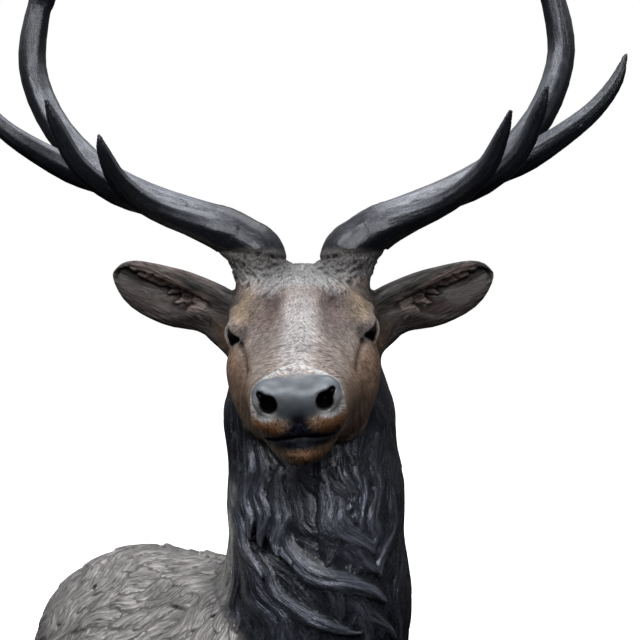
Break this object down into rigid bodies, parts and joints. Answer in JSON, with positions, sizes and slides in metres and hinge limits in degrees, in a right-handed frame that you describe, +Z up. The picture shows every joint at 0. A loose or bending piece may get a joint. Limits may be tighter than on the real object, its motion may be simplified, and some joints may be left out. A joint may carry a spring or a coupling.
{
  "type": "bronze deer sculpture",
  "caption": "Bust of a stag cast in bronze: turned head with open ears and wide branching antlers on a carved, maned neck, cut flat below.",
  "frame": {"origin": "middle of the bounding box in plan, on the flat underside", "axes": "+Z up; the stag looks along -Y; its back runs off along -X"},
  "size_m": [0.8154, 0.58, 1.0386],
  "materials": {
    "bronze": "patinated cast bronze, black antlers and mane, brown face, silver-grey rubbed ridges"
  },
  "bodies": {
    "root": {"stag_bust": "bronze"}
  },
  "joints": []
}
